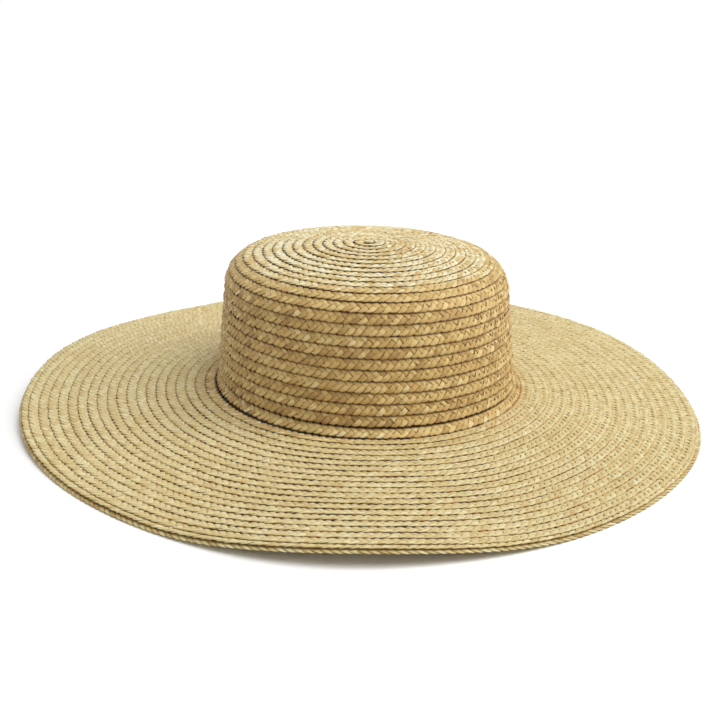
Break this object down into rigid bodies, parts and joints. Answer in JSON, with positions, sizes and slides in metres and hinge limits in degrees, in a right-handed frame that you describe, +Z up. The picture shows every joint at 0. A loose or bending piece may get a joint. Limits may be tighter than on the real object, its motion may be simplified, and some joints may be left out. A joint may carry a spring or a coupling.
{
  "type": "straw boater hat",
  "caption": "Wide-brimmed straw boater hat with a low flat crown, sewn from plaited straw braid; worn on the head as a sun hat and stands on its own rim.",
  "frame": {"origin": "middle of the hat's outline, on the floor that the rim stands on", "axes": "+Z up through the crown, -Y to the front of the hat, +X to the hat's right-hand side as seen from the front"},
  "size_m": [0.3968, 0.4404, 0.0955],
  "materials": {
    "crown_straw": "plaited natural straw, matt with a faint sheen",
    "brim_straw": "plaited natural straw, matt with a faint sheen"
  },
  "bodies": {
    "root": {"crown_tip": "crown_straw", "crown_side": "crown_straw", "brim": "brim_straw", "edge_braid": "brim_straw"}
  },
  "joints": []
}
